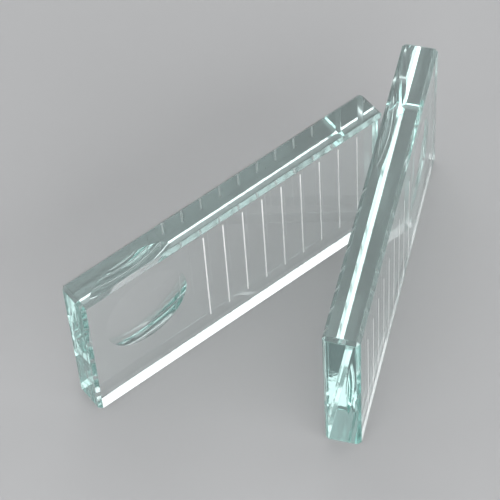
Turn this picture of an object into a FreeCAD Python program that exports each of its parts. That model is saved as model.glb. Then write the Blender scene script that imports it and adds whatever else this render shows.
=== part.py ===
import FreeCAD, Part
import math
import os
import Sketcher

# Matched pair of ruled glass counting blocks, standing on their long narrow faces.
# Row frame: +Z up, origin at the centre of block A's resting face, +X along block A,
# -Y out of block A's ruled face.  Millimetres and degrees.

V = FreeCAD.Vector

# Sketcher's codes for the points of an edge and for the sketch axes
START, END, CENTRE = 1, 2, 3
H_AXIS, V_AXIS = -1, -2
ORIGIN = (H_AXIS, START)

# ---------------------------------------------------------------- driving sizes
# alias, value, note
SIZES = [
    ("block_length", 100.0, "long side of one block"),
    ("block_height", 50.0, "standing height, the plate's short side"),
    ("block_thick", 10.0, "plate thickness"),
    ("arris", 1.0, "45 degree ground bevel on all twelve edges"),
    ("well_from_end", 21.1, "well centre from the nearer end"),
    ("well_from_edge", 26.4, "well centre from the wide-margin long edge"),
    ("well_rim_dia", 26.5, "well diameter at the surface"),
    ("well_depth", 1.5, "depth of the spherical well at its centre"),
    ("well_over", 1.0, "cutter height above the surface"),
    ("line_first", 38.6, "first ruled line from the well end"),
    ("line_pitch", 6.5, "spacing of the ruled lines"),
    ("line_count", 9, "ruled lines on one block"),
    ("line_foot", 11.2, "line end from the wide-margin long edge"),
    ("line_span", 36.0, "length of a ruled line"),
    ("line_width", 0.4, "width of a ruled line"),
    ("line_cut", 0.2, "depth of the engraved line"),
    ("pair_x", -2.2, "block B near ruled corner, along X"),
    ("pair_y", -58.45, "block B near ruled corner, along Y"),
    ("pair_turn", 38.13, "angle between the two blocks"),
]

doc = FreeCAD.newDocument("ruled_glass_blocks")
sheet = doc.addObject("Spreadsheet::Sheet", "Params")
for row, (alias, value, note) in enumerate(SIZES, start=1):
    sheet.set("A%d" % row, alias.replace("_", " "))
    sheet.set("B%d" % row, repr(value))
    sheet.set("C%d" % row, note)
    sheet.setAlias("B%d" % row, alias)
doc.recompute()


def size(alias):
    return float(getattr(sheet, alias))


# ---------------------------------------------------------------- sketch helpers
def sketch_on(body, name, role, **offsets):
    """Sketch on an origin plane of the body; offsets give the formula for each shifted axis."""
    sketch = body.newObject("Sketcher::SketchObject", name)
    support = next(item for item in body.Origin.OriginFeatures if item.Role == role)
    sketch.AttachmentSupport = [(support, "")]
    sketch.MapMode = "FlatFace"
    for axis, formula in offsets.items():
        sketch.setExpression("AttachmentOffset.Base." + axis, formula)
    return sketch


def add_line(sketch, start, end):
    return sketch.addGeometry(Part.LineSegment(V(*start, 0), V(*end, 0)), False)


def add_arc(sketch, centre, radius, start_angle, end_angle):
    circle = Part.Circle(V(*centre, 0), V(0, 0, 1), radius)
    return sketch.addGeometry(Part.ArcOfCircle(circle, start_angle, end_angle), False)


def constrain(sketch, kind, *where):
    return sketch.addConstraint(Sketcher.Constraint(kind, *where))


def dimension(sketch, kind, *where, value, formula):
    """Dimensional constraint that follows a spreadsheet formula."""
    index = constrain(sketch, kind, *where, value)
    sketch.setExpression("Constraints[%d]" % index, formula)


def close_loop(sketch, kind, edges):
    """Joins the end of each edge to the start of the next, and the last to the first."""
    for edge, following in zip(edges, edges[1:] + edges[:1]):
        constrain(sketch, kind, edge, END, following, START)


def draw_outline(sketch):
    """Rectangle of the plate's large face, with one corner on the origin."""
    length, height = size("block_length"), size("block_height")
    corners = [(0, 0), (length, 0), (length, height), (0, height)]
    sides = [add_line(sketch, corners[i], corners[(i + 1) % 4]) for i in range(4)]
    close_loop(sketch, "Coincident", sides)
    for side, direction in zip(sides, ("Horizontal", "Vertical") * 2):
        constrain(sketch, direction, side)
    bottom, right = sides[:2]
    constrain(sketch, "Coincident", bottom, START, *ORIGIN)
    dimension(sketch, "DistanceX", bottom, START, bottom, END,
              value=length, formula="Params.block_length")
    dimension(sketch, "DistanceY", right, START, right, END,
              value=height, formula="Params.block_height")


def draw_stroke(sketch):
    """Upright ruled line with round ends; the middle of its lower end is on the origin."""
    width, span = size("line_width"), size("line_span")
    radius = width / 2
    low, high = radius, span - radius
    right = add_line(sketch, (radius, low), (radius, high))
    top = add_arc(sketch, (0, high), radius, 0, math.pi)
    left = add_line(sketch, (-radius, high), (-radius, low))
    foot = add_arc(sketch, (0, low), radius, math.pi, 2 * math.pi)
    close_loop(sketch, "Tangent", [right, top, left, foot])
    constrain(sketch, "Vertical", right)
    constrain(sketch, "Equal", top, foot)
    dimension(sketch, "Radius", foot, value=radius, formula="Params.line_width / 2")
    dimension(sketch, "DistanceY", foot, CENTRE, top, CENTRE,
              value=span - width, formula="Params.line_span - Params.line_width")
    constrain(sketch, "PointOnObject", foot, CENTRE, V_AXIS)
    dimension(sketch, "DistanceY", *ORIGIN, foot, CENTRE,
              value=low, formula="Params.line_width / 2")


def ball_radius():
    """Radius of the sphere that gives the well its rim and depth."""
    rim, depth = size("well_rim_dia") / 2, size("well_depth")
    return (rim * rim + depth * depth) / (2 * depth)


def draw_well_section(sketch):
    """Half section of the well cutter, with the surface on the horizontal axis."""
    rim, depth, over = size("well_rim_dia") / 2, size("well_depth"), size("well_over")
    ball = ball_radius()
    centre_height = ball - depth
    bowl = add_arc(sketch, (0, centre_height), ball,
                   -math.pi / 2, math.atan2(-centre_height, rim))
    wall = add_line(sketch, (rim, 0), (rim, over))
    lid = add_line(sketch, (rim, over), (0, over))
    core = add_line(sketch, (0, over), (0, -depth))
    close_loop(sketch, "Coincident", [bowl, wall, lid, core])
    constrain(sketch, "Vertical", wall)
    constrain(sketch, "Horizontal", lid)
    for edge, point in ((core, START), (core, END), (bowl, CENTRE)):
        constrain(sketch, "PointOnObject", edge, point, V_AXIS)
    constrain(sketch, "PointOnObject", wall, START, H_AXIS)
    dimension(sketch, "DistanceX", *ORIGIN, wall, START,
              value=rim, formula="Params.well_rim_dia / 2")
    dimension(sketch, "DistanceY", bowl, START, *ORIGIN,
              value=depth, formula="Params.well_depth")
    dimension(sketch, "DistanceY", wall, START, wall, END,
              value=over, formula="Params.well_over")


# ---------------------------------------------------------------- glass block
def require_cut(what, before, after, expected):
    """Stops unless the volume removed is within 1 % of the expected one."""
    removed = before - after
    if abs(removed - expected) > 0.01 * expected:
        raise RuntimeError("%s cut %.3f, not %.3f mm3" % (what, removed, expected))


def add_plate(body, label):
    """Plate from y = 0 to its thickness, bevelled on every edge."""
    outline = sketch_on(body, label + "_outline", "XZ_Plane")
    draw_outline(outline)
    doc.recompute()
    plate = body.newObject("PartDesign::Pad", label + "_plate")
    plate.Profile = outline
    plate.setExpression("Length", "Params.block_thick")
    plate.Reversed = True
    doc.recompute()

    bevels = body.newObject("PartDesign::Chamfer", label + "_bevels")
    bevels.Base = (plate, ["Edge%d" % (i + 1) for i in range(len(plate.Shape.Edges))])
    bevels.setExpression("Size", "Params.arris")
    doc.recompute()


def cut_well(body, label):
    """Spherical well in the +Y face, turned about an axis square to the plate."""
    section = sketch_on(body, label + "_well_section", "XY_Plane",
                        x="Params.well_from_end", y="Params.block_thick",
                        z="Params.well_from_edge")
    draw_well_section(section)
    doc.recompute()
    before = body.Shape.Volume
    well = body.newObject("PartDesign::Groove", label + "_well")
    well.Profile = section
    well.ReferenceAxis = (section, ["V_Axis"])
    well.Angle = 360.0
    doc.recompute()

    depth = size("well_depth")
    cap_volume = math.pi * depth * depth * (ball_radius() - depth / 3)
    require_cut(well.Label, before, well.Shape.Volume, cap_volume)


def cut_ruling(body, label):
    """Row of engraved lines in the y = 0 face."""
    stroke = sketch_on(body, label + "_line_profile", "XZ_Plane",
                       x="Params.line_first", y="Params.line_foot")
    draw_stroke(stroke)
    doc.recompute()
    before = body.Shape.Volume
    line = body.newObject("PartDesign::Pocket", label + "_line")
    line.Profile = stroke
    line.setExpression("Length", "Params.line_cut")
    doc.recompute()

    ruling = body.newObject("PartDesign::LinearPattern", label + "_ruling")
    ruling.Originals = [line]
    ruling.Direction = (stroke, ["H_Axis"])
    ruling.setExpression("Length", "(Params.line_count - 1) * Params.line_pitch")
    ruling.setExpression("Occurrences", "Params.line_count")
    body.Tip = ruling
    doc.recompute()

    width = size("line_width")
    line_area = width * (size("line_span") - width) + math.pi * width * width / 4
    require_cut(ruling.Label, before, body.Shape.Volume,
                size("line_count") * line_area * size("line_cut"))


def glass_block(label):
    body = doc.addObject("PartDesign::Body", label)
    add_plate(body, label)
    cut_well(body, label)
    cut_ruling(body, label)
    return body


# ---------------------------------------------------------------- line fill
def line_fill(label, block, number):
    """White enamel that fills one engraved line flush with the ruled face."""
    body = doc.addObject("PartDesign::Body", label)
    stroke = sketch_on(body, label + "_stroke", "XZ_Plane")
    draw_stroke(stroke)
    doc.recompute()
    enamel = body.newObject("PartDesign::Pad", label + "_enamel")
    enamel.Profile = stroke
    enamel.setExpression("Length", "Params.line_cut")
    enamel.Reversed = True
    body.setExpression(
        "Placement",
        "%s.Placement * placement("
        "vector(Params.line_first + %d * Params.line_pitch; 0; Params.line_foot); "
        "rotation(vector(0; 0; 1); 0))" % (block.Name, number))
    return body


# ---------------------------------------------------------------- the pair
block_a = glass_block("glass_block_a")
block_a.setExpression("Placement.Base.x", "-Params.block_length / 2")
block_a.setExpression("Placement.Base.y", "-Params.block_thick / 2")

# Block B is the same block turned half round in its own plane, so its well is at the far end,
# and then turned about the vertical by the angle between the two.
block_b = glass_block("glass_block_b")
block_b.setExpression(
    "Placement",
    "placement(vector(Params.pair_x; Params.pair_y; 0); "
    "rotation(vector(0; 0; 1); Params.pair_turn)) * "
    "placement(vector(Params.block_length; 0; Params.block_height); "
    "rotation(vector(0; 1; 0); 180))")
doc.recompute()

parts = [block_a, block_b]
for letter, block in (("a", block_a), ("b", block_b)):
    for number in range(int(size("line_count"))):
        parts.append(line_fill("line_fill_%s%d" % (letter, number + 1), block, number))
doc.recompute()

# ---------------------------------------------------------------- validity and export
for item in doc.Objects:
    if "Invalid" in item.State or "Error" in item.State:
        raise RuntimeError("%s is %s" % (item.Label, item.State))
for part in parts:
    shape = part.Shape
    if shape.isNull() or not shape.isValid() or len(shape.Solids) != 1:
        raise RuntimeError("%s has no single valid solid" % part.Label)

os.makedirs("parts", exist_ok=True)
for part in parts:
    part.Shape.exportStep("parts/%s.step" % part.Label)
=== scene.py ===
"""Two polished plate-glass blocks, A and B, on a pale bench.

Each block has nine engraved lines filled with white enamel in one face and a round,
bowl-shaped well in the opposite face. Block-local axes: x runs along the plate from the
well end, y through it from the ruled face, z across it. Block A keeps the world's axes;
block B is turned over, so that its local z points down.
"""

import math

import bmesh
import bpy
import numpy as np
from mathutils import Matrix, Vector, geometry, noise


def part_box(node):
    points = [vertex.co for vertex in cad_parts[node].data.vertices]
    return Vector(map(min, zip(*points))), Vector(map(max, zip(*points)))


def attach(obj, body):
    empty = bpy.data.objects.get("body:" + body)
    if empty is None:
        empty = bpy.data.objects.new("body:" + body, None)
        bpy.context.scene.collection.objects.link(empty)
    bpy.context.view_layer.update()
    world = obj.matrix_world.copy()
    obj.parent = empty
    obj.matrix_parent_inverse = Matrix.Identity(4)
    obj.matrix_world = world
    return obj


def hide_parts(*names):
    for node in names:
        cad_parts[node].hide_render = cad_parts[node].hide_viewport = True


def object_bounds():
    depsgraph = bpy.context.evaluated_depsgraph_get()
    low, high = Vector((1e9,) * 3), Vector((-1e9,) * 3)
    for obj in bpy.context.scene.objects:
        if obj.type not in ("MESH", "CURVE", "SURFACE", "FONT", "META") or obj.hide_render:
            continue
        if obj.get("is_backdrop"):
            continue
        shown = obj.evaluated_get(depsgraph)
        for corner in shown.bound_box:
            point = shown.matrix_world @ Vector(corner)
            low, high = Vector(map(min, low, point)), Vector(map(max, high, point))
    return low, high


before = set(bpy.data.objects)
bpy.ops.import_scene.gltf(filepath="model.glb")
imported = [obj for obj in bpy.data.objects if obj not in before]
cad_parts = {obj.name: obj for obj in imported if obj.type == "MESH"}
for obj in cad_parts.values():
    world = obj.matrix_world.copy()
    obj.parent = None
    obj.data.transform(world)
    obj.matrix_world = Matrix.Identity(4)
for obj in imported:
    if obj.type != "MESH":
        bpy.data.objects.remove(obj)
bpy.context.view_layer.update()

MM = 0.001
LINES = 9

# ------------------------------------------------------------------ sizes read off the CAD


def middle(node_name):
    lo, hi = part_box(node_name)
    return (lo + hi) / 2


BLOCK_LO, BLOCK_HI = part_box("glass_block_a")
LENGTH, THICK, WIDTH = BLOCK_HI - BLOCK_LO
LINE_CENTRES = [middle("line_fill_a%d" % (n + 1)) - BLOCK_LO for n in range(LINES)]
line_lo, line_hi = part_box("line_fill_a1")
LINE_W, LINE_CUT, LINE_SPAN = line_hi - line_lo


def place_block_b():
    """Placement of block B, from the centres of its first and last lines."""
    first = middle("line_fill_b1")
    last = middle("line_fill_b%d" % LINES)
    along = (last - first).normalized()
    down = Vector((0, 0, -1))
    turn = Matrix((along, down.cross(along), down)).transposed()
    return Matrix.Translation(first - turn @ LINE_CENTRES[0]) @ turn.to_4x4()


PLACES = {"a": Matrix.Translation(BLOCK_LO), "b": place_block_b()}

# Points of block A clear of its edges and deeper than the lines belong to the well.
EDGE_MARGIN = 2 * MM
MIN_DEPTH = 1 * MM
block_points = [v.co - BLOCK_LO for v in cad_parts["glass_block_a"].data.vertices]
well_points = [p for p in block_points
               if EDGE_MARGIN < p.x < LENGTH - EDGE_MARGIN
               and EDGE_MARGIN < p.z < WIDTH - EDGE_MARGIN and p.y > MIN_DEPTH]
well_xs = [p.x for p in well_points]
well_zs = [p.z for p in well_points]
WELL_X = (min(well_xs) + max(well_xs)) / 2
WELL_Z = (min(well_zs) + max(well_zs)) / 2
WELL_R = (max(well_xs) - min(well_xs)) / 2
WELL_DEPTH = THICK - min(p.y for p in well_points)

# Width of the chamfer along the block's edges.
CHAMFER = min(v.co.x - BLOCK_LO.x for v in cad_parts["glass_block_a"].data.vertices
              if abs(v.co.z - BLOCK_LO.z) < 1e-6)
CHAMFER_SOFTENING = 0.06 * MM

# The bowl is part of a ball whose centre lies BALL_LIFT outside the well face.
BALL_R = (WELL_R ** 2 + WELL_DEPTH ** 2) / (2 * WELL_DEPTH)
BALL_LIFT = BALL_R - WELL_DEPTH
# The rim is rounded with radius RIM_SOFT and starts RIM_R from the well's axis.
RIM_SOFT = 0.12 * MM
RIM_R = math.sqrt((BALL_R + RIM_SOFT) ** 2 - (BALL_LIFT + RIM_SOFT) ** 2)
RIM_ANGLE = math.atan2(RIM_R, BALL_LIFT + RIM_SOFT)
RIM_STEPS = 4
BOWL_RINGS = 44
BOWL_SEGMENTS = 176

# ------------------------------------------------------------------ mesh helpers


def bridge(bm, upper, lower):
    """Quads between two closed rings of equal length."""
    count = len(upper)
    return [bm.faces.new((upper[i], upper[(i + 1) % count], lower[(i + 1) % count], lower[i]))
            for i in range(count)]


def to_mesh(bm, name):
    bmesh.ops.recalc_face_normals(bm, faces=bm.faces[:])
    mesh = bpy.data.meshes.new(name)
    bm.to_mesh(mesh)
    bm.free()
    return mesh


def slot_outline(centre, steps=10):
    """Closed x, z outline of a line: a slot with round ends, long in z."""
    radius = LINE_W / 2
    outline = []
    for end, start in ((1, 0), (-1, math.pi)):
        for i in range(steps + 1):
            angle = start + math.pi * i / steps
            outline.append((centre.x + radius * math.cos(angle),
                            centre.z + end * LINE_SPAN / 2 - end * radius
                            + radius * math.sin(angle)))
    return outline


def inside_ring(point, ring):
    """Even-odd test of a 2D point against a closed ring."""
    hit = False
    for i, a in enumerate(ring):
        b = ring[i - 1]
        if ((a.y > point.y) != (b.y > point.y)
                and point.x < (b.x - a.x) * (point.y - a.y) / (b.y - a.y) + a.x):
            hit = not hit
    return hit


def fill_plane(bm, outer, holes, outward, kind):
    """Triangulate a flat face across y, given its outer ring and the rings of its holes."""
    points, edges, owners = [], [], []
    for ring in [outer] + holes:
        first = len(points)
        for i, v in enumerate(ring):
            points.append(Vector((v.co.x, v.co.z)))
            owners.append(v)
            edges.append((first + i, first + (i + 1) % len(ring)))
    hole_rings = [[Vector((v.co.x, v.co.z)) for v in ring] for ring in holes]
    corners, _, faces, source, _, _ = geometry.delaunay_2d_cdt(points, edges, [], 0, 1e-9)
    for face in faces:
        centre = Vector((0, 0))
        for i in face:
            centre += corners[i]
        centre /= len(face)
        if any(inside_ring(centre, ring) for ring in hole_rings):
            continue
        # Guards against a triangle that exists already or has merged corners.
        try:
            f = bm.faces.new([owners[source[i][0]] for i in face])
        except ValueError:
            continue
        f.normal_update()
        if f.normal.dot(outward) < 0:
            f.normal_flip()
        f[kind] = FLAT


# ------------------------------------------------------------------ glass block

# Face kinds, stored in the "kind" attribute.
FLAT, BEVEL, SOFT, BOWL, GROOVE = range(5)

# Least areas, in square metres, that tell the kinds of face of the chamfered box apart.
FLAT_AREA = 1e-4
BEVEL_AREA = 1e-5
CORNER_AREA = 1e-7


def chamfered_box(bm):
    """Box with chamfered edges, softened once more; returns the face kind layer."""
    bmesh.ops.create_cube(bm, size=1.0)
    for v in bm.verts:
        v.co = Vector(((v.co.x + 0.5) * LENGTH, (v.co.y + 0.5) * THICK, (v.co.z + 0.5) * WIDTH))
    for offset, segments in ((CHAMFER, 1), (CHAMFER_SOFTENING, 2)):
        bmesh.ops.bevel(bm, geom=bm.edges[:], offset=offset, offset_type="OFFSET",
                        segments=segments, profile=0.5, affect="EDGES", clamp_overlap=False)
        bm.normal_update()
    kind = bm.faces.layers.int.new("kind")
    for f in bm.faces:
        slopes = [abs(c) for c in f.normal]
        area = f.calc_area()
        if max(slopes) > 0.999 and area > FLAT_AREA:
            f[kind] = FLAT
        elif area > BEVEL_AREA or (area > CORNER_AREA and min(slopes) > 0.5):
            f[kind] = BEVEL
        else:
            f[kind] = SOFT
    return kind


def engrave_lines(bm, kind):
    """Floors and walls of the engraved lines; returns their rings in the ruled face."""
    mouths = []
    for centre in LINE_CENTRES:
        mouth, bottom = [[bm.verts.new((x, y, z)) for x, z in slot_outline(centre)]
                         for y in (0.0, LINE_CUT)]
        for f in bridge(bm, mouth, bottom) + [bm.faces.new(bottom)]:
            f[kind] = GROOVE
        mouths.append(mouth)
    return mouths


def sink_well(bm, kind):
    """Bowl with a rounded rim; returns its outermost ring, in the well face."""
    # Radius from the well's axis and height above the well face, from the rim inwards.
    section = []
    for i in range(RIM_STEPS + 1):
        angle = RIM_ANGLE * i / RIM_STEPS
        section.append((RIM_R - RIM_SOFT * math.sin(angle),
                        -RIM_SOFT + RIM_SOFT * math.cos(angle)))
    for i in range(1, BOWL_RINGS):
        angle = RIM_ANGLE * (1 - i / BOWL_RINGS)
        section.append((BALL_R * math.sin(angle), BALL_LIFT - BALL_R * math.cos(angle)))
    rings = []
    for radius, height in section:
        ring = []
        for k in range(BOWL_SEGMENTS):
            angle = 2 * math.pi * k / BOWL_SEGMENTS
            ring.append(bm.verts.new((WELL_X + radius * math.cos(angle), THICK + height,
                                      WELL_Z + radius * math.sin(angle))))
        rings.append(ring)
    faces = []
    for upper, lower in zip(rings, rings[1:]):
        faces += bridge(bm, upper, lower)
    foot = bm.verts.new((WELL_X, THICK - WELL_DEPTH, WELL_Z))
    last = rings[-1]
    for k in range(BOWL_SEGMENTS):
        faces.append(bm.faces.new((last[k], last[(k + 1) % BOWL_SEGMENTS], foot)))
    for f in faces:
        f[kind] = BOWL
    return rings[0]


def bowl_normal(co):
    """Normal of the bowl or of its rounded rim at a point."""
    radius = math.hypot(co.x - WELL_X, co.z - WELL_Z)
    if radius > RIM_R - RIM_SOFT * math.sin(RIM_ANGLE) - 1e-9:
        radial = Vector(((co.x - WELL_X) / radius, 0, (co.z - WELL_Z) / radius))
        lean = min(1.0, max(0.0, (RIM_R - radius) / RIM_SOFT))
        return (-radial * lean + Vector((0, math.sqrt(1 - lean * lean), 0))).normalized()
    return (Vector((WELL_X, THICK + BALL_LIFT, WELL_Z)) - co).normalized()


def soft_normal(mesh, kinds, touching):
    """Normal at a corner of a softened edge: that of the largest flat or bevel it meets."""
    near = [q for q in touching if kinds[q] in (FLAT, BEVEL)]
    if near:
        return max((mesh.polygons[q] for q in near), key=lambda p: p.area).normal.copy()
    total = Vector()
    for q in touching:
        total += mesh.polygons[q].normal
    return total.normalized()


def set_corner_normals(mesh, kinds):
    """Flats stay flat; the softened edges and the bowl are smooth."""
    touching = [[] for _ in mesh.vertices]
    for p in mesh.polygons:
        for i in p.vertices:
            touching[i].append(p.index)
    normals = []
    for p in mesh.polygons:
        for i in p.vertices:
            if kinds[p.index] == BOWL:
                normals.append(bowl_normal(mesh.vertices[i].co))
            elif kinds[p.index] == SOFT:
                normals.append(soft_normal(mesh, kinds, touching[i]))
            else:
                normals.append(p.normal.copy())
    mesh.polygons.foreach_set("use_smooth", [True] * len(mesh.polygons))
    mesh.normals_split_custom_set(normals)


def glass_mesh(name):
    bm = bmesh.new()
    kind = chamfered_box(bm)
    # The two large faces are taken out and filled again round the lines and the well.
    ruled, welled = [max((f for f in bm.faces if side * f.normal.y > 0.999),
                         key=lambda f: f.calc_area()) for side in (-1, 1)]
    ruled_ring, welled_ring = list(ruled.verts), list(welled.verts)
    bmesh.ops.delete(bm, geom=[ruled, welled], context="FACES_ONLY")
    fill_plane(bm, ruled_ring, engrave_lines(bm, kind), Vector((0, -1, 0)), kind)
    fill_plane(bm, welled_ring, [sink_well(bm, kind)], Vector((0, 1, 0)), kind)
    mesh = to_mesh(bm, name)

    kinds = np.zeros(len(mesh.polygons), np.int32)
    mesh.attributes["kind"].data.foreach_get("value", kinds)
    set_corner_normals(mesh, kinds)
    ground = mesh.attributes.new("ground_edge", "FLOAT", "FACE")
    ground.data.foreach_set("value", np.isin(kinds, (BEVEL, SOFT)).astype(np.float32))
    return mesh


# ------------------------------------------------------------------ enamel line

ENAMEL_SIDE_STEPS = 72
ENAMEL_END_STEPS = 10
# How far the enamel reaches into the glass, so that it wets it all round.
BITE = 0.015 * MM
# Rings from the crowned face to the bottom: growth beyond the groove's outline,
# y from the ruled face, and unevenness of the edge.
ENAMEL_RINGS = (
    (-0.30 * LINE_W / 2, -0.010 * MM, 0.0),
    (-0.10 * LINE_W / 2, -0.006 * MM, 0.006 * MM),
    (0.0, 0.004 * MM, 0.010 * MM),
    (BITE, 0.02 * MM, 0.0),
    (BITE, LINE_CUT + BITE, 0.0),
)
# Noise for the uneven edge: cycles per metre, and shifts in x and z from line to line.
EDGE_NOISE_SCALE = 900
EDGE_NOISE_SHIFT = (7.3, 1.7)


def enamel_outline():
    """Closed x, z outline of the groove about its centre."""
    radius = LINE_W / 2
    straight = LINE_SPAN / 2 - radius
    angles = [math.pi * i / ENAMEL_END_STEPS for i in range(ENAMEL_END_STEPS + 1)]
    sides = [1 - 2 * i / ENAMEL_SIDE_STEPS for i in range(1, ENAMEL_SIDE_STEPS)]
    outline = []
    for end in (1, -1):
        outline += [(end * radius * math.cos(t), end * straight + end * radius * math.sin(t))
                    for t in angles]
        outline += [(-end * radius, end * straight * k) for k in sides]
    return outline


def enamel_mesh(name, centre, seed):
    """Enamel in one line: its face is a hair crowned, with a slightly uneven edge."""
    bm = bmesh.new()
    straight = LINE_SPAN / 2 - LINE_W / 2
    shift_x, shift_z = EDGE_NOISE_SHIFT
    rings = []
    for growth, y, unevenness in ENAMEL_RINGS:
        ring = []
        for x, z in enamel_outline():
            out = Vector((x, 0, z - max(-straight, min(straight, z)))).normalized()
            spot = Vector((x * EDGE_NOISE_SCALE + seed * shift_x, z * EDGE_NOISE_SCALE,
                           seed * shift_z))
            grow = growth + unevenness * noise.noise(spot)
            ring.append(bm.verts.new((centre.x + x + out.x * grow, y,
                                      centre.z + z + out.z * grow)))
        rings.append(ring)
    for upper, lower in zip(rings, rings[1:]):
        bridge(bm, upper, lower)
    bm.faces.new(rings[0])
    bm.faces.new(rings[-1])
    bmesh.ops.triangulate(bm, faces=[f for f in bm.faces if len(f.verts) > 4])
    return to_mesh(bm, name)


# ------------------------------------------------------------------ shader helpers


def add_node(tree, kind, inputs=None, **properties):
    """New node; an input is given a value or the socket that feeds it."""
    node = tree.nodes.new(kind)
    for key, value in properties.items():
        setattr(node, key, value)
    for key, value in (inputs or {}).items():
        if isinstance(value, bpy.types.NodeSocket):
            tree.links.new(value, node.inputs[key])
        else:
            node.inputs[key].default_value = value
    return node


def object_coords(tree):
    return add_node(tree, "ShaderNodeTexCoord").outputs["Object"]


def noise_value(tree, vector, **settings):
    return add_node(tree, "ShaderNodeTexNoise", {"Vector": vector, **settings}).outputs["Fac"]


def grey(level):
    return (level, level, level, 1)


def colour_ramp(tree, factor, *stops):
    """Ramp through stops of (position, colour), in rising order."""
    node = add_node(tree, "ShaderNodeValToRGB", {"Fac": factor})
    elements = node.color_ramp.elements
    for element, (position, colour) in zip(elements, (stops[0], stops[-1])):
        element.position = position
        element.color = colour
    for position, colour in stops[1:-1]:
        elements.new(position).color = colour
    return node.outputs["Color"]


def bump_normal(tree, height, **settings):
    return add_node(tree, "ShaderNodeBump", {"Height": height, **settings}).outputs["Normal"]


def new_material(name):
    material = bpy.data.materials.new(name)
    material.use_nodes = True
    material.node_tree.nodes.clear()
    return material, material.node_tree


# ------------------------------------------------------------------ materials

# Hairline scratches in two directions: rotation and scale of the stretched noise.
SCRATCHES = (
    ((0.35, 0.5, 0.0), (26.0, 26.0, 2300.0)),
    ((0.85, -0.9, 0.0), (30.0, 30.0, 1700.0)),
)


def glass_roughness(tree, where):
    """Smudges and wiping scratches on the faces, a fine even haze on the ground edges."""
    smudge = noise_value(tree, where, Scale=55.0, Detail=6.0, Roughness=0.62, Distortion=0.8)
    patches = colour_ramp(tree, smudge, (0.50, grey(0.0)), (0.72, grey(0.035)))
    edge = add_node(tree, "ShaderNodeAttribute", attribute_name="ground_edge")
    grain = noise_value(tree, where, Scale=2600.0, Detail=3.0, Roughness=0.6)
    haze = colour_ramp(tree, grain, (0.3, grey(0.05)), (0.75, grey(0.13)))
    hairs = []
    for rotation, scale in SCRATCHES:
        lie = add_node(tree, "ShaderNodeMapping",
                       {"Vector": where, "Rotation": rotation, "Scale": scale})
        fine = noise_value(tree, lie.outputs[0], Scale=1.0, Detail=2.0, Roughness=0.4)
        hairs.append(colour_ramp(tree, fine, (0.70, grey(0.0)), (0.76, grey(0.09))))
    marks = add_node(tree, "ShaderNodeMath", {0: hairs[0], 1: hairs[1]}, operation="MAXIMUM")
    worn = add_node(tree, "ShaderNodeMath", {0: patches, 1: marks.outputs[0]},
                    operation="MAXIMUM")
    # Inputs of the float mix: 0 is the factor, 2 and 3 the two values.
    mix = add_node(tree, "ShaderNodeMix", {0: edge.outputs["Fac"], 2: worn.outputs[0], 3: haze})
    return mix.outputs[0]


def glass_material():
    material, tree = new_material("polished_plate_glass")
    where = object_coords(tree)
    roughness = glass_roughness(tree, where)
    # Very fine polishing waviness.
    wave = noise_value(tree, where, Scale=420.0, Detail=2.0, Roughness=0.5)
    surface = add_node(tree, "ShaderNodeBsdfPrincipled", {
        "Base Color": grey(1),
        "IOR": 1.52,
        "Transmission Weight": 1.0,
        "Roughness": roughness,
        "Normal": bump_normal(tree, wave, Strength=0.007, Distance=0.0004),
    })
    # Green-blue tint that deepens with the thickness of glass.
    body = add_node(tree, "ShaderNodeVolumeAbsorption",
                    {"Color": (0.53, 0.88, 0.835, 1), "Density": 8.5})
    add_node(tree, "ShaderNodeOutputMaterial",
             {"Surface": surface.outputs[0], "Volume": body.outputs[0]})
    return material


def enamel_material():
    material, tree = new_material("white_line_enamel")
    where = object_coords(tree)
    mottle = noise_value(tree, where, Scale=1500.0, Detail=5.0, Roughness=0.6)
    tone = colour_ramp(tree, mottle, (0.28, (0.83, 0.845, 0.84, 1)), (0.64, (0.955, 0.96, 0.95, 1)))
    roughness = colour_ramp(tree, mottle, (0.3, grey(0.62)), (0.7, grey(0.38)))
    pits = noise_value(tree, where, Scale=5200.0, Detail=3.0)
    surface = add_node(tree, "ShaderNodeBsdfPrincipled", {
        "Base Color": tone,
        "Roughness": roughness,
        "Normal": bump_normal(tree, pits, Strength=0.35, Distance=0.00003),
    })
    add_node(tree, "ShaderNodeOutputMaterial", {"Surface": surface.outputs[0]})
    return material


# ------------------------------------------------------------------ the pieces


def put(mesh, letter, material, node_name):
    """Place a block-local mesh as an object that stands in for a CAD node."""
    mesh.transform(PLACES[letter])
    mesh.materials.append(material)
    ob = bpy.data.objects.new(mesh.name, mesh)
    bpy.context.scene.collection.objects.link(ob)
    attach(ob, "block_" + letter)
    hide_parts(node_name)


glass = glass_material()
enamel = enamel_material()
for letter, first_seed in (("a", 1), ("b", 21)):
    put(glass_mesh("polished_block_" + letter), letter, glass,
        "glass_block_" + letter)
    for n, centre in enumerate(LINE_CENTRES):
        label = "%s%d" % (letter, n + 1)
        put(enamel_mesh("enamel_line_" + label, centre, first_seed + n), letter, enamel,
            "line_fill_" + label)

# ------------------------------------------------------------------ bench

PALE = (0.40, 0.404, 0.409, 1)
BENCH_HALF = 12.0
BENCH_Z = -0.06 * MM
# Distances from the origin between which the bench fades into the backdrop.
FADE_START, FADE_END = 0.35, 1.6


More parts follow.
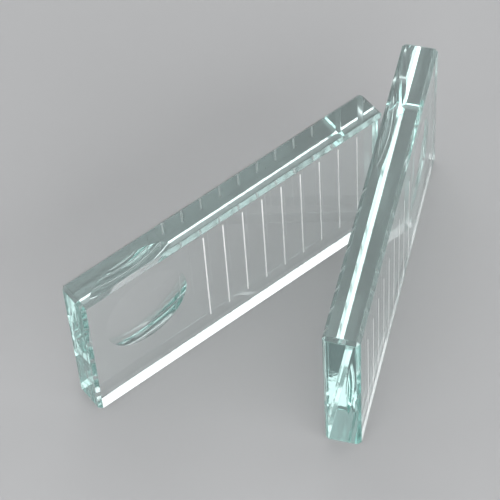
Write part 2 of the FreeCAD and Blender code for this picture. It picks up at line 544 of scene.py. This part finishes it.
def bench_material():
    material, tree = new_material("pale_bench")
    near = add_node(tree, "ShaderNodeBsdfPrincipled", {
        "Base Color": (0.51, 0.513, 0.517, 1),
        "Roughness": 0.7,
        "Specular IOR Level": 0.15,
    })
    far = add_node(tree, "ShaderNodeEmission", {"Color": PALE})
    distance = add_node(tree, "ShaderNodeVectorMath", {0: object_coords(tree)},
                        operation="LENGTH")
    fade = add_node(tree, "ShaderNodeMapRange",
                    {"Value": distance.outputs["Value"], "From Min": FADE_START,
                     "From Max": FADE_END}, interpolation_type="SMOOTHSTEP")
    blend = add_node(tree, "ShaderNodeMixShader",
                     {0: fade.outputs["Result"], 1: near.outputs[0], 2: far.outputs[0]})
    add_node(tree, "ShaderNodeOutputMaterial", {"Surface": blend.outputs[0]})
    return material


def bench():
    """Plain pale bench that runs into the backdrop with no visible edge."""
    mesh = bpy.data.meshes.new("bench_top")
    corners = [(x * BENCH_HALF, y * BENCH_HALF, BENCH_Z)
               for x, y in ((-1, -1), (1, -1), (1, 1), (-1, 1))]
    mesh.from_pydata(corners, [], [(0, 1, 2, 3)])
    ob = bpy.data.objects.new("bench_top", mesh)
    bpy.context.scene.collection.objects.link(ob)
    mesh.materials.append(bench_material())
    ob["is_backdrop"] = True


bench()

# ------------------------------------------------------------------ lights

LIGHT_REACH = 1.5
# Name, direction from the blocks, width, height, radiance.
SOFTBOXES = (
    ("softbox_back", (0.2705, 0.6421, 0.7113), 1.11, 1.15, 1.30),
    ("softbox_high", (0.3978, 0.0846, 0.9135), 0.80, 0.505, 1.15),
    ("softbox_over", (-0.541, -0.202, 0.816), 0.62, 0.52, 1.25),
    ("softbox_right", (0.94, -0.30, 0.36), 1.2, 0.85, 1.25),
    ("softbox_left", (-0.90, -0.20, 0.42), 1.2, 1.0, 1.25),
    ("softbox_front", (-0.05, -0.90, 0.42), 2.2, 1.15, 2.7),
    ("softbox_rear", (-0.62, 0.70, 0.38), 1.3, 0.9, 1.45),
)


def softbox(name, target, toward, width, height, radiance):
    """Soft panel that faces the target from a given direction."""
    light = bpy.data.lights.new(name, "AREA")
    light.shape = "RECTANGLE"
    light.size = width
    light.size_y = height
    light.energy = radiance * math.pi * width * height
    place = target + Vector(toward).normalized() * LIGHT_REACH
    ob = bpy.data.objects.new(name, light)
    ob.location = place
    ob.rotation_euler = (target - place).to_track_quat("-Z", "Y").to_euler()
    bpy.context.scene.collection.objects.link(ob)


lit_lo, lit_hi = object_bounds()
for name, *settings in SOFTBOXES:
    softbox(name, (lit_lo + lit_hi) / 2, *settings)


def studio():
    """Plain pale surroundings; the darker ceiling gives the glass its dark accents."""
    world = bpy.data.worlds.new("studio")
    bpy.context.scene.world = world
    world.use_nodes = True
    tree = world.node_tree
    where = add_node(tree, "ShaderNodeTexCoord").outputs["Generated"]
    split = add_node(tree, "ShaderNodeSeparateXYZ", {0: where})
    tone = colour_ramp(tree, split.outputs["Z"],
                       (0.0, PALE),
                       (0.24, (0.415, 0.419, 0.426, 1)),
                       (0.62, (0.20, 0.204, 0.21, 1)))
    background = tree.nodes["Background"]
    tree.links.new(tone, background.inputs["Color"])
    background.inputs["Strength"].default_value = 1.0


studio()

# ------------------------------------------------------------------ render and camera

view = bpy.context.scene.view_settings
view.view_transform = "Standard"
view.look = "None"
# Enough bounces for light to pass through both blocks.
cycles = bpy.context.scene.cycles
cycles.max_bounces = 40
cycles.transmission_bounces = 32
cycles.glossy_bounces = 32

# Camera place from block A's low corner at z = 0, and its axes.
CAMERA_OFFSET = Vector((-0.15579, -0.30695, 0.55279))
CAMERA_RIGHT = Vector((0.78899519, -0.61279516, -0.04436993))
CAMERA_UP = Vector((0.52126911, 0.62942602, 0.5762824))
CAMERA_AHEAD = Vector((0.32521548, 0.47781271, -0.81604529))


def add_camera():
    data = bpy.data.cameras.new("camera")
    data.sensor_width = 36.0
    data.lens = 171.19
    data.clip_start = 0.01
    data.clip_end = 20.0
    ob = bpy.data.objects.new("camera", data)
    corner = Vector((BLOCK_LO.x, BLOCK_LO.y, 0.0))
    axes = Matrix((CAMERA_RIGHT, CAMERA_UP, -CAMERA_AHEAD)).transposed()
    ob.matrix_world = Matrix.Translation(corner + CAMERA_OFFSET) @ axes.to_4x4()
    bpy.context.scene.collection.objects.link(ob)
    bpy.context.scene.camera = ob


add_camera()
